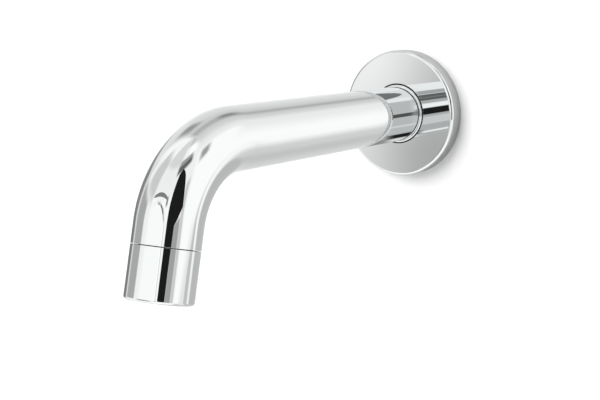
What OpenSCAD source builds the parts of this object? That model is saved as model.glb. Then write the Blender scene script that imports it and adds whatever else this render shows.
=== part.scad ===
// Wall-mounted basin spout with an aerated outlet, in millimetres.
// The origin lies on the wall at the inlet's axis. +Z is up, and the spout reaches out along -Y.
// Turned pieces are drawn as sections: x is the radius, and y is the distance along the piece's axis.

/* [Spout tube] */
// Outside diameter of the tube and of the nozzle
tube_d = 26; // [24:0.5:32]
// Wall of the tube
tube_wall = 1.5; // [1:0.1:1.8]
// From the wall to the start of the bend
run_l = 128; // [90:1:250]
// Radius of the bend at the tube's centre line
bend_r = 37.5; // [30:0.5:80]
// Angle that the bend turns through
bend_angle = 75; // [60:1:90]
// Straight stretch from the bend to the nozzle's joint
drop_l = 8; // [8:0.5:60]

/* [Root of the spout] */
// How far the root's ring stands out from the tube all round
root_ring_step = 0.8; // [0.5:0.1:1.5]
// How far the root's ring stands out of the flange's face
root_ring_proud = 0.6; // [0.4:0.1:1.5]
// Rounding of the root ring's front edge
root_ring_round = 0.5; // [0.2:0.1:0.5]
// Gap between the back of the root and the wall nipple's collar
root_gap = 0.5; // [0.2:0.1:1]
// How far the root runs on past the end of the wall nipple
root_over = 1.5; // [0.5:0.5:4]
// Lead-in chamfer at the back of the root's bore
root_lead = 1; // [0.5:0.1:1.5]

/* [Wall flange] */
// Outside diameter of the flange
flange_d = 60; // [56:1:80]
// Depth of the flange from the wall to its face
flange_t = 8; // [7:0.5:14]
// Rounding of the flange's front edge
flange_round = 1.5; // [0.5:0.1:2]
// Thickness of the flange's face plate
flange_plate = 2.5; // [2:0.1:3]
// Thickness of the flange's rim
flange_rim = 2; // [1.5:0.1:3]
// Thickness of the flange's hub round the seal
flange_hub = 3.5; // [3:0.1:5]
// Distance of the hub's back from the wall
flange_hub_gap = 1.5; // [1:0.1:2.5]
// Width of the seal's line that shows round the root's ring
seal_show = 0.55; // [0.4:0.05:1]
// Depth of the seal's groove in the hub
seal_groove = 1.8; // [1:0.1:2]
// Width of the seal's groove in the hub
seal_w = 3.2; // [2:0.1:3.4]
// Metal left in front of the seal's groove
seal_land = 0.8; // [0.5:0.1:1.2]
// How far the seal's lip stays behind the flange's face
seal_back = 0.4; // [0.2:0.1:0.6]
// Width of the foam gasket behind the flange
gasket_w = 5; // [3:0.5:6]

/* [Wall nipple] */
// Outside diameter of the inlet's thread, G 1/2
thread_d = 20.955; // [20:0.005:22]
// Length of the thread at its full diameter
thread_l = 11; // [8:1:20]
// Chamfer at the end of the thread
thread_chamfer = 1.2; // [0.5:0.1:2]
// Diameter of the undercut behind the thread
undercut_d = 18.6; // [17:0.1:19]
// How far the nipple's collar stands out beyond the thread
collar_step = 2; // [1.5:0.1:4]
// Thickness of the nipple's collar, behind the wall's face
collar_t = 3; // [2:0.5:5]
// Diameter of the spigot that the spout slides over
spigot_d = 18; // [17:0.1:18.4]
// Plain end of the spigot past its front seal
spigot_land = 3.5; // [2.5:0.5:6]
// Chamfer at the end of the spigot
spigot_chamfer = 0.8; // [0.5:0.1:1.5]
// Width across the flats of the hexagon socket
key_w = 10; // [8:0.5:10]
// Depth of the hexagon socket
key_depth = 20; // [10:1:25]
// Diameter of the waterway that is drilled from the thread's end
waterway_d = 11; // [8:0.5:12]
// Angle of that drill's point
drill_point = 118; // [90:1:140]
// Distance between the grub screw and the rear seal, and between the two seals
seal_pitch = 5; // [4.5:0.5:8]
// Thickness of the spigot's seals before they are squeezed
oring_cord = 1.8; // [1.6:0.1:2]
// Depth of the seals' grooves
oring_groove = 1.4; // [1.2:0.05:1.5]
// Room beside each seal in its groove
oring_room = 0.6; // [0.4:0.1:1]
// Thickness of the flat washer behind the collar
washer_t = 1.5; // [1:0.1:3]

/* [Grub screw] */
// Diameter of the grub screw
grub_d = 5; // [4:1:6]
// Length of the grub screw
grub_l = 5; // [4.5:0.1:5.5]
// From the flange's face to the grub screw's axis
grub_from_flange = 8; // [6:0.5:12]
// How far the grub screw's end stays inside the tube's surface
grub_sink = 0.2; // [0:0.1:0.5]
// Width across the flats of the grub screw's socket
grub_key_w = 2.5; // [2:0.5:3]
// Depth of the grub screw's socket
grub_key_depth = 2.4; // [1.5:0.1:3]
// Length of the grub screw's point
grub_point = 1; // [0.5:0.1:1.5]
// Width of the nipple's groove on each side of the grub screw
grub_groove_side = 0.5; // [0.2:0.1:1]

/* [Nozzle] */
// Length of the nozzle sleeve
sleeve_l = 20; // [19:0.5:40]
// Wall of the sleeve at its thread
sleeve_wall = 2; // [1.5:0.1:2.5]
// Rounding of the sleeve's lower edge
lip_round = 1.2; // [0.5:0.1:1.4]
// Thickness of the lip that holds the aerator
lip_t = 1.5; // [1:0.1:2]
// How far the lip reaches in from the sleeve's bore
lip_w = 1; // [0.6:0.1:1.5]
// Rounding of the lip's inner edge
lip_inner_round = 0.4; // [0.2:0.1:0.6]
// Open line between the tube and the sleeve
seam = 0.3; // [0.2:0.05:0.6]
// Rounding of the two edges at that line
seam_round = 0.2; // [0.1:0.05:0.4]
// Length of the outlet spigot inside the tube
insert_l = 7; // [4:0.5:7.5]
// Length of the outlet spigot's thread
outlet_thread_l = 4.8; // [4:0.1:8]
// Wall of the outlet spigot at its thread
outlet_wall = 2; // [1.6:0.1:2.5]
// Depth of the seal's groove at the top of the outlet thread
sleeve_groove = 1; // [0.8:0.05:1.2]
// Width of that groove
sleeve_groove_w = 2.2; // [1.8:0.1:3]
// Thickness of the sleeve's seal before it is squeezed
sleeve_cord = 1.5; // [1.3:0.1:1.7]
// Chamfer at the end of the outlet thread
outlet_chamfer = 0.5; // [0.3:0.1:1]

/* [Aerator] */
// Thickness of the washer on top of the aerator
aerator_washer_t = 1.8; // [1.2:0.1:2.2]
// Width of that washer
aerator_washer_w = 2.6; // [1.8:0.1:3]
// Wall of the aerator's housing
housing_wall = 1.2; // [0.8:0.1:1.6]
// Width of the ledge that holds the stack up
ledge_w = 0.6; // [0.4:0.1:1]
// Thickness of that ledge
ledge_t = 0.8; // [0.5:0.1:1]
// Thickness of the strainer's rim
screen_rim_t = 0.8; // [0.5:0.1:1.2]
// Width of the strainer's rim
screen_rim_w = 1.6; // [1.2:0.1:2.5]
// Height of the strainer's dome
screen_h = 3.6; // [2:0.1:4.5]
// Wall of the strainer's dome
screen_wall = 0.6; // [0.4:0.1:0.8]
// Diameter of the strainer's holes
screen_hole_d = 1; // [0.6:0.1:1.1]
// Number of holes in the strainer's inner ring, which each further ring adds again
screen_hole_count = 8; // [6:1:10]
// Number of rings of holes in the strainer
screen_hole_rings = 2; // [1:1:2]
// Thickness of the flow regulator's plate
regulator_t = 2.2; // [1.8:0.1:3]
// Radius of the regulating ring at its cord's centre
regulator_ring_r = 5.6; // [4.5:0.1:6]
// Thickness of the regulating ring's cord
regulator_cord = 1.6; // [1.2:0.1:1.8]
// Depth of the channel that holds the regulating ring
regulator_channel = 1.2; // [0.8:0.1:1.4]
// Width of the slots in that channel
regulator_slot_w = 1; // [0.6:0.1:1.4]
// Number of slots in that channel
regulator_slots = 6; // [4:1:8]
// Thickness of the jet plate
jet_plate_t = 1; // [0.6:0.1:1.5]
// Diameter of the jet plate's holes
jet_d = 0.9; // [0.6:0.1:1.2]
// Number of holes in the jet plate
jet_count = 20; // [12:1:24]
// Height of the jet plate's skirt
jet_skirt_l = 0.7; // [0.4:0.1:1]
// Thickness of each mixing screen
mesh_t = 0.3; // [0.2:0.05:0.4]
// Distance between the centres of a screen's holes
mesh_pitch = 1.8; // [1.6:0.1:3]
// Width of a screen's holes
mesh_hole = 1.3; // [0.8:0.1:1.4]
// Height of the ring between the screens
spacer_h = 0.6; // [0.4:0.1:0.8]
// Width of each thin ring at the edge of the stack
stack_rim_w = 0.9; // [0.6:0.1:1.2]
// Width across the flats of a cell of the outlet grille
cell_w = 2; // [1.6:0.1:2.6]
// Thickness of the walls between the cells
cell_wall = 0.45; // [0.3:0.05:0.6]
// Number of rings of cells round the middle one
cell_rings = 3; // [2:1:3]

/* [Fits] */
// Clearance all round where pieces are brazed, screwed or snapped together
joint_clear = 0.05; // [0.02:0.01:0.1]
// Clearance all round between the spout's root and the spigot
slide_clear = 0.1; // [0.05:0.01:0.15]
// Clearance between a seal and what it seals against
seal_clear = 0.05; // [0.02:0.01:0.1]
// Clearance all round between the aerator and the sleeve
aerator_clear = 0.3; // [0.1:0.05:0.5]

/* [Hidden] */
$fn = 96;

// Overrun of a cut past the face that it opens
cut = 1;
// The tube's wall is drawn out by this much at each face in the bend
bend_thin = 0.02;
// The straights taper to twice that over this length
taper_l = 0.5;
// The bend runs this far into the straights, as a length and as an angle
lap_l = 0.8;
bend_lap = lap_l / bend_r * 180 / PI;
// The hexagon's corners lie this much further out than its flats
hex_corner = 1 / cos(30);

// Radii of the tube, and of the root's ring and bore
tube_r = tube_d / 2;
bore_r = tube_r - tube_wall;
ring_r = tube_r + root_ring_step;
root_bore_r = spigot_d / 2 + slide_clear;
// The root ring's front face, where the tube starts
ring_front = flange_t + root_ring_proud;
// Places along the run, from the wall
grub_y = flange_t + grub_from_flange;
rear_oring_y = grub_y + seal_pitch;
front_oring_y = rear_oring_y + seal_pitch;
spigot_l = front_oring_y + spigot_land;
root_end = spigot_l + root_over;

// The grub screw's point, measured from the run's axis
grub_tip_r = tube_r - grub_sink - grub_l;
grub_groove_r = grub_tip_r - seal_clear;
grub_groove_w = grub_d + 2 * grub_groove_side;
// The seals' grooves on the spigot
oring_floor_r = spigot_d / 2 - oring_groove;
oring_groove_w = oring_cord + oring_room;

// The flange's hole, hub and seal groove
flange_r = flange_d / 2;
hole_r = ring_r + seal_show;
hub_r = hole_r + flange_hub;
plate_back = flange_t - flange_plate;
seal_front = flange_t - seal_land;
seal_rear = seal_front - seal_w;
rim_inner_r = flange_r - flange_rim;

// Radius of the collar, and places behind the wall's face
collar_r = thread_d / 2 + collar_step;
washer_face = -collar_t;
undercut_l = washer_t + 2 * seal_clear;
thread_start = -collar_t - undercut_l;
thread_end = thread_start - thread_l;
nipple_end = thread_end - thread_chamfer;
// The bottom of the nipple's hexagon socket, where the drilled waterway's cone begins
socket_floor = spigot_l - key_depth;
drill_cone = waterway_d / 2 / tan(drill_point / 2);

// Places along the outlet, from the end of the bend
sleeve_top = drop_l + seam;
sleeve_end = sleeve_top + sleeve_l;
lip_face = sleeve_end - lip_t;
sleeve_bore_r = tube_r - sleeve_wall;
outlet_thread_r = sleeve_bore_r - joint_clear;
outlet_bore_r = outlet_thread_r - outlet_wall;
outlet_thread_top = drop_l + sleeve_groove_w;
outlet_end = outlet_thread_top + outlet_thread_l;
sleeve_floor_r = outlet_thread_r - sleeve_groove;

// The aerator's stack, from its ledge upwards
aerator_r = sleeve_bore_r - aerator_clear;
stack_r = aerator_r - housing_wall - joint_clear;
washer_top = outlet_end + seal_clear;
housing_top = washer_top + aerator_washer_t + seal_clear;
housing_end = lip_face - joint_clear;
ledge_face = housing_end - ledge_t;
screen_top = housing_top;
regulator_top = screen_top + screen_rim_t + joint_clear;
jet_top = regulator_top + regulator_t + joint_clear;
upper_mesh_top = jet_top + jet_plate_t + jet_skirt_l + joint_clear;
spacer_top = upper_mesh_top + mesh_t + joint_clear;
lower_mesh_top = spacer_top + spacer_h + joint_clear;
grille_top = lower_mesh_top + mesh_t + joint_clear;
grille_end = ledge_face - joint_clear;

// Colours of the finishes
CHROME = [0.80, 0.82, 0.82];
BRASS = [0.78, 0.63, 0.34];
STEEL = [0.60, 0.61, 0.62];
RUBBER = [0.07, 0.07, 0.07];
FOAM = [0.20, 0.20, 0.21];
FIBRE = [0.62, 0.20, 0.16];
ACETAL = [0.88, 0.88, 0.86];

// Puts a piece drawn along +Z on the run, with its zero at the wall
module on_run() {
    rotate([90, 0, 0]) children();
}

// Puts a piece drawn along +Z on the outlet, with its zero at the end of the bend
module on_outlet() {
    translate([0, -run_l - bend_r * sin(bend_angle), -bend_r * (1 - cos(bend_angle))])
        rotate([90 + bend_angle, 0, 0])
            children();
}

// Puts a piece drawn along +Z on the grub screw's axis, pointing down and out of the tube
module on_grub() {
    translate([0, -grub_y, 0]) rotate([180, 0, 0]) children();
}

// Sweeps a section round the bend, and a little way into the straight stretches at its ends
module round_bend() {
    translate([0, -run_l, -bend_r])
        rotate([180, -90, 0])
            rotate([0, 0, -bend_lap])
                rotate_extrude(angle = bend_angle + 2 * bend_lap)
                    translate([bend_r, 0]) children();
}

// A plain band of a section, between two radii and two places
module band(r0, r1, z0, z1) {
    translate([r0, z0]) square([r1 - r0, z1 - z0]);
}

// A band whose outer corner at its far end is rounded
module band_round_end(r0, r1, z0, z1, f) {
    band(r0, r1, z0, z1 - f);
    band(r0, r1 - f, z0, z1);
    translate([r1 - f, z1 - f]) circle(r = f);
}

// A band whose outer corner at its near end is rounded
module band_round_start(r0, r1, z0, z1, f) {
    band(r0, r1, z0 + f, z1);
    band(r0, r1 - f, z0, z1);
    translate([r1 - f, z0 + f]) circle(r = f);
}

// A band whose outer corner at its far end is chamfered
module band_chamfer_end(r0, r1, z0, z1, c) {
    polygon([[r0, z0], [r1, z0], [r1, z1 - c], [r1 - c, z1], [r0, z1]]);
}

// A rubber ring squeezed to the width between two radii
module squeezed_ring(r0, r1, z, cord) {
    translate([0, 0, z])
        rotate_extrude()
            intersection() {
                translate([(r0 + r1) / 2, 0]) circle(d = cord);
                band(r0, r1, -cord, cord);
            }
}

// The section of a straight stretch of tube, between two places, which tapers to join the bend
module straight_section(bend_end, plain_end) {
    taper_z = bend_end + sign(plain_end - bend_end) * taper_l;
    polygon([
        [tube_r, plain_end], [tube_r, taper_z], [tube_r - 2 * bend_thin, bend_end],
        [bore_r + 2 * bend_thin, bend_end], [bore_r, taper_z], [bore_r, plain_end]
    ]);
}

// The hole for the grub screw, through the tube and the root
module grub_hole() {
    on_grub()
        translate([0, 0, grub_tip_r])
            cylinder(r = grub_d / 2 + joint_clear, h = tube_r - grub_tip_r + cut);
}

// The bent tube, from the root's ring to the nozzle's joint
module spout_tube() {
    color(CHROME)
        difference() {
            union() {
                on_run() rotate_extrude() straight_section(run_l, ring_front);
                round_bend()
                    difference() {
                        circle(r = tube_r - bend_thin);
                        circle(r = bore_r + bend_thin);
                    }
                on_outlet()
                    rotate_extrude()
                        intersection() {
                            straight_section(0, drop_l);
                            band_round_end(bore_r, tube_r, 0, drop_l, seam_round);
                        }
            }
            grub_hole();
        }
}

// The turned root, brazed into the tube behind its rounded ring
module inlet_bush() {
    color(CHROME)
        difference() {
            on_run()
                rotate_extrude()
                    difference() {
                        union() {
                            band_round_end(root_bore_r, ring_r, root_gap, ring_front, root_ring_round);
                            band(root_bore_r, bore_r - joint_clear, ring_front - cut, root_end);
                        }
                        polygon([
                            [root_bore_r - cut, root_gap - cut],
                            [root_bore_r + root_lead + cut, root_gap - cut],
                            [root_bore_r - cut, root_gap + root_lead + cut]
                        ]);
                    }
            grub_hole();
        }
}

// The pointed screw that holds the root on the nipple, set in from below
module grub_screw() {
    color(STEEL)
        on_grub()
            difference() {
                rotate_extrude()
                    polygon([
                        [0, grub_tip_r],
                        [grub_d / 2 - grub_point, grub_tip_r],
                        [grub_d / 2, grub_tip_r + grub_point],
                        [grub_d / 2, tube_r - grub_sink],
                        [0, tube_r - grub_sink]
                    ]);
                translate([0, 0, tube_r - grub_sink - grub_key_depth])
                    cylinder(d = grub_key_w * hex_corner, h = grub_key_depth + cut, $fn = 6);
            }
}

// The round cover plate, hollow at the back
module wall_flange() {
    color(CHROME)
        on_run()
            rotate_extrude()
                difference() {
                    union() {
                        difference() {
                            band_round_end(hole_r, flange_r, 0, flange_t, flange_round);
                            band(hole_r - cut, rim_inner_r, -cut, plate_back);
                        }
                        band(hole_r, hub_r, flange_hub_gap, plate_back + cut);
                    }
                    band(hole_r - cut, hole_r + seal_groove, seal_rear, seal_front);
                }
}

// The rubber ring that closes the gap between the flange and the root
module flange_seal() {
    color(RUBBER)
        on_run()
            rotate_extrude() {
                band(
                    ring_r + seal_clear, hole_r - seal_clear,
                    seal_rear + seal_clear, flange_t - seal_back
                );
                band(
                    ring_r + seal_clear, hole_r + seal_groove - seal_clear,
                    seal_rear + seal_clear, seal_front - seal_clear
                );
            }
}

// The foam ring between the flange's face plate and the wall
module wall_gasket() {
    color(FOAM)
        on_run()
            rotate_extrude()
                band(
                    rim_inner_r - seal_clear - gasket_w, rim_inner_r - seal_clear,
                    0, plate_back - seal_clear
                );
}

// The connecting piece, with its thread in the wall and its spigot in the spout
module wall_nipple() {
    color(BRASS)
        on_run()
            difference() {
                rotate_extrude()
                    difference() {
                        union() {
                            band(0, undercut_d / 2, thread_start - cut, washer_face + cut);
                            polygon([
                                [0, nipple_end],
                                [thread_d / 2 - thread_chamfer, nipple_end],
                                [thread_d / 2, thread_end],
                                [thread_d / 2, thread_start],
                                [0, thread_start]
                            ]);
                            band(0, collar_r, washer_face, 0);
                            band_chamfer_end(0, spigot_d / 2, -cut, spigot_l, spigot_chamfer);
                        }
                        polygon([
                            [0, nipple_end - cut],
                            [waterway_d / 2, nipple_end - cut],
                            [waterway_d / 2, socket_floor],
                            [0, socket_floor + drill_cone]
                        ]);
                        nipple_groove(grub_groove_r, grub_y, grub_groove_w);
                        nipple_groove(oring_floor_r, rear_oring_y, oring_groove_w);
                        nipple_groove(oring_floor_r, front_oring_y, oring_groove_w);
                    }
                translate([0, 0, socket_floor])
                    cylinder(d = key_w * hex_corner, h = key_depth + cut, $fn = 6);
            }
}

// The section of a groove in the nipple's spigot
module nipple_groove(floor_r, y, w) {
    band(floor_r, spigot_d / 2 + cut, y - w / 2, y + w / 2);
}

// The flat washer between the nipple's collar and the wall's elbow
module thread_washer() {
    color(FIBRE)
        on_run()
            rotate_extrude()
                band(
                    thread_d / 2 + joint_clear, collar_r,
                    washer_face - seal_clear - washer_t, washer_face - seal_clear
                );
}

// One seal on the nipple's spigot
module spigot_oring(y) {
    on_run() squeezed_ring(oring_floor_r + seal_clear, root_bore_r - seal_clear, y, oring_cord);
}

// The seal next to the grub screw
module rear_oring() {
    color(RUBBER) spigot_oring(rear_oring_y);
}

// The seal near the end of the spigot
module front_oring() {
    color(RUBBER) spigot_oring(front_oring_y);
}

// The threaded ring that is brazed into the end of the tube
module outlet_spigot() {
    color(BRASS)
        on_outlet()
            rotate_extrude() {
                band(outlet_bore_r, bore_r - joint_clear, drop_l - insert_l, drop_l);
                band(outlet_bore_r, sleeve_floor_r, drop_l - cut, outlet_thread_top + cut);
                band_chamfer_end(
                    outlet_bore_r, outlet_thread_r, outlet_thread_top, outlet_end, outlet_chamfer
                );
            }
}

// The seal between the tube's end and the sleeve
module sleeve_oring() {
    color(RUBBER)
        on_outlet()
            squeezed_ring(
                sleeve_floor_r + seal_clear, sleeve_bore_r - seal_clear,
                drop_l + sleeve_groove_w / 2 + seal_clear, sleeve_cord
            );
}

// The chromed sleeve that screws onto the spigot and carries the aerator
module nozzle_sleeve() {
    color(CHROME)
        on_outlet()
            rotate_extrude()
                difference() {
                    intersection() {
                        band_round_end(0, tube_r, sleeve_top, sleeve_end, lip_round);
                        band_round_start(0, tube_r, sleeve_top, sleeve_end, seam_round);
                    }
                    band(0, sleeve_bore_r, sleeve_top - cut, lip_face);
                    band(0, sleeve_bore_r - lip_w, sleeve_top, sleeve_end + cut);
                    lip_inner_edge();
                }
}

// What the rounding takes off the lip's inner edge
module lip_inner_edge() {
    difference() {
        band(
            sleeve_bore_r - lip_w - cut, sleeve_bore_r - lip_w + lip_inner_round,
            sleeve_end - lip_inner_round, sleeve_end + cut
        );
        translate([sleeve_bore_r - lip_w + lip_inner_round, sleeve_end - lip_inner_round])
            circle(r = lip_inner_round);
    }
}

// The soft ring between the outlet spigot and the aerator
module aerator_washer() {
    color(RUBBER)
        on_outlet()
            rotate_extrude()
                band(
                    aerator_r - aerator_washer_w, aerator_r,
                    washer_top, washer_top + aerator_washer_t
                );
}

// The aerator's plastic shell, with the ledge that holds its stack
module aerator_housing() {
    color(ACETAL)
        on_outlet()
            rotate_extrude() {
                band(aerator_r - housing_wall, aerator_r, housing_top, housing_end);
                band(stack_r - ledge_w, aerator_r - housing_wall, ledge_face, housing_end);
            }
}

// The domed strainer on the aerator's inlet
module filter_screen() {
    dome_r = stack_r - screen_rim_w;
    // Radius of the ball that gives the dome its base and its height
    ball_r = (dome_r * dome_r + screen_h * screen_h) / (2 * screen_h);
    // Where the ball's centre lies, downstream of the rim's face
    ball_z = ball_r - screen_h;
    color(ACETAL)
        on_outlet()
            translate([0, 0, screen_top])
                difference() {
                    rotate_extrude() {
                        band(dome_r - screen_wall, stack_r, 0, screen_rim_t);
                        intersection() {
                            translate([0, ball_z])
                                difference() {
                                    circle(r = ball_r);
                                    circle(r = ball_r - screen_wall);
                                }
                            band(0, dome_r, -screen_h - cut, screen_rim_t);
                        }
                    }
                    for (ring = [1 : screen_hole_rings])
                        screen_holes(dome_r * ring / (screen_hole_rings + 1), ring * screen_hole_count);
                }
}

// One ring of holes in the strainer, with a given count
module screen_holes(r, count) {
    for (i = [0 : count - 1])
        rotate([0, 0, i * 360 / count])
            translate([r, 0, -screen_h - cut])
                cylinder(d = screen_hole_d, h = screen_h + screen_rim_t + 2 * cut);
}

// The plate that holds the regulating ring in its channel
module flow_regulator() {
    channel_in = regulator_ring_r - regulator_cord / 2 - joint_clear;
    channel_out = regulator_ring_r + regulator_cord / 2 + joint_clear;
    color(ACETAL)
        on_outlet()
            translate([0, 0, regulator_top])
                difference() {
                    cylinder(r = stack_r, h = regulator_t);
                    translate([0, 0, -cut])
                        linear_extrude(regulator_channel + cut)
                            difference() {
                                circle(r = channel_out);
                                circle(r = channel_in);
                            }
                    for (i = [0 : regulator_slots - 1])
                        rotate([0, 0, i * 360 / regulator_slots])
                            translate([regulator_ring_r, 0, regulator_t / 2])
                                cube(
                                    [regulator_cord, regulator_slot_w, regulator_t + 2 * cut],
                                    center = true
                                );
                }
}

// The soft ring that swells with pressure and limits the flow
module regulator_oring() {
    color(RUBBER)
        on_outlet()
            translate([0, 0, regulator_top + regulator_channel - regulator_cord / 2 - seal_clear])
                rotate_extrude()
                    translate([regulator_ring_r, 0]) circle(d = regulator_cord);
}

// The plate that splits the water into jets, with a skirt that keeps the screens clear
module jet_plate() {
    color(ACETAL)
        on_outlet()
            translate([0, 0, jet_top])
                difference() {
                    rotate_extrude() {
                        band(0, stack_r, 0, jet_plate_t);
                        band(stack_r - stack_rim_w, stack_r, 0, jet_plate_t + jet_skirt_l);
                    }
                    for (i = [0 : jet_count - 1])
                        rotate([0, 0, i * 360 / jet_count])
                            translate([regulator_ring_r, 0, -cut])
                                cylinder(d = jet_d, h = jet_plate_t + 2 * cut);
                }
}

// One mixing screen: a thin disc with square holes inside its rim
module mixing_screen(top) {
    open_r = stack_r - stack_rim_w;
    steps = floor(open_r / mesh_pitch);
    on_outlet()
        translate([0, 0, top])
            linear_extrude(mesh_t)
                difference() {
                    circle(r = stack_r);
                    for (i = [-steps : steps])
                        for (j = [-steps : steps])
                            if (norm([i, j]) * mesh_pitch + mesh_hole / sqrt(2) < open_r)
                                translate([i * mesh_pitch, j * mesh_pitch])
                                    square(mesh_hole, center = true);
                }
}

// The screen next to the jet plate
module upper_mesh() {
    color(STEEL) mixing_screen(upper_mesh_top);
}

// The thin ring that keeps the two screens apart
module mesh_spacer() {
    color(ACETAL)
        on_outlet()
            rotate_extrude()
                band(stack_r - stack_rim_w, stack_r, spacer_top, spacer_top + spacer_h);
}

// The screen next to the outlet grille
module lower_mesh() {
    color(STEEL) mixing_screen(lower_mesh_top);
}

// The honeycomb plate at the mouth
module outlet_grille() {
    pitch = cell_w + cell_wall;
    color(ACETAL)
        on_outlet()
            translate([0, 0, grille_top])
                linear_extrude(grille_end - grille_top)
                    difference() {
                        circle(r = stack_r);
                        for (q = [-cell_rings : cell_rings])
                            for (s = [-cell_rings : cell_rings])
                                if (abs(q + s) <= cell_rings)
                                    translate([pitch * (q + s / 2), pitch * s / hex_corner])
                                        rotate(30)
                                            circle(d = cell_w * hex_corner, $fn = 6);
                    }
}

spout_tube();
inlet_bush();
grub_screw();
wall_flange();
flange_seal();
wall_gasket();
wall_nipple();
thread_washer();
rear_oring();
front_oring();
outlet_spigot();
sleeve_oring();
nozzle_sleeve();
aerator_washer();
aerator_housing();
filter_screen();
flow_regulator();
regulator_oring();
jet_plate();
upper_mesh();
mesh_spacer();
lower_mesh();
outlet_grille();
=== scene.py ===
"""A chromed wall spout for a basin: its finishes, its turned and bent pieces, and the studio around it."""

import math
from collections import namedtuple

import bpy
from bpy.props import FloatProperty, FloatVectorProperty, IntProperty, PointerProperty
from mathutils import Matrix, Vector


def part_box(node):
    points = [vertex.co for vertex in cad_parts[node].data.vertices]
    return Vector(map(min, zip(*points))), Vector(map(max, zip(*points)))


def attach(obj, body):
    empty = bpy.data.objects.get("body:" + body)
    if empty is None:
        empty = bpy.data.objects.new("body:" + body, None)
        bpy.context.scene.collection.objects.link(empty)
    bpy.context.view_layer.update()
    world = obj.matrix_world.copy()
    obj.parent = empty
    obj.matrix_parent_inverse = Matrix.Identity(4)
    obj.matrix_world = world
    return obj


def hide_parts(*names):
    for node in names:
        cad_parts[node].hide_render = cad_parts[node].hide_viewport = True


bl_info = {
    "name": "Wall Basin Spout",
    "version": (1, 0, 0),
    "blender": (4, 5, 0),
    "location": "View3D > Sidebar > Spout",
    "description": "A chromed wall spout for a basin, with its flange, wall nipple and aerator",
    "category": "Add Mesh",
}

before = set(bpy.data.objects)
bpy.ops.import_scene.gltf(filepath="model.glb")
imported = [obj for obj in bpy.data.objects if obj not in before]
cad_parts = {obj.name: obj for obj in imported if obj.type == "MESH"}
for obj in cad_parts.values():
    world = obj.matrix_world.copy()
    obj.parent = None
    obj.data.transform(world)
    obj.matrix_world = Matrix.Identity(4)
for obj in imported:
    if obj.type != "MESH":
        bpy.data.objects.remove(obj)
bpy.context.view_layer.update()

MM = 0.001
BODY = "root"
OVER_X = Vector((1, 0, 0))
UNDERSIDE = 3 / 4  # share of a turn from a piece's right to its underside

# Distances in metres under which two places, or two radii, count as one.
SAME_PLACE = 1e-7
SAME_RADIUS = 1e-9

# How finely the pieces are divided.
ROUND_STEP = math.radians(9)  # largest turn of one step round an edge
ROUND_LEAST = 4  # least steps round an edge
BEND_STEPS = 72  # steps along the bend
HOLE_STEPS = 8  # steps along half of the band round a radial hole
HOLE_PATCH = 15  # degrees to each side that the faces round a radial hole take up
THREAD_STEPS = 14  # steps along one pitch of the thread

# How normals are worked out.
LEVEL = 1e-6  # axial part of a normal under which its face runs along the piece
RADIAL = 0.3  # least radial part of a normal that a varying radius bends
SLOPE_STEP = 1e-6  # metres to each side over which that radius's slope is taken
INTO_FACE = 0.01  # share of the way from a corner to its face's middle where the slope is taken

Corner = namedtuple("Corner", "x r round", defaults=(0,))
Station = namedtuple("Station", "x r nx nr")


def size(name, description, default_mm):
    """A length property, with its default given in millimetres."""
    return FloatProperty(
        name=name, description=description, default=default_mm * MM, unit="LENGTH", precision=5
    )


def angle(name, description, default):
    """An angle property, with its default given in radians."""
    return FloatProperty(name=name, description=description, default=default, subtype="ANGLE")


def number(name, description, default):
    """A property without a unit."""
    return FloatProperty(name=name, description=description, default=default)


def point(name, description, default):
    """A property that holds a place, with its default given in metres."""
    return FloatVectorProperty(name=name, description=description, default=default, subtype="XYZ")


def linear(code):
    """Turns an sRGB hex colour into linear red, green and blue."""
    channels = [int(code[i : i + 2], 16) / 255 for i in (1, 3, 5)]
    return [c / 12.92 if c <= 0.04045 else ((c + 0.055) / 1.055) ** 2.4 for c in channels]


def colour(name, description, code):
    """A colour property, with its default given as an sRGB hex value."""
    return FloatVectorProperty(
        name=name, description=description, default=linear(code), subtype="COLOR", size=3, min=0, max=1
    )


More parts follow.
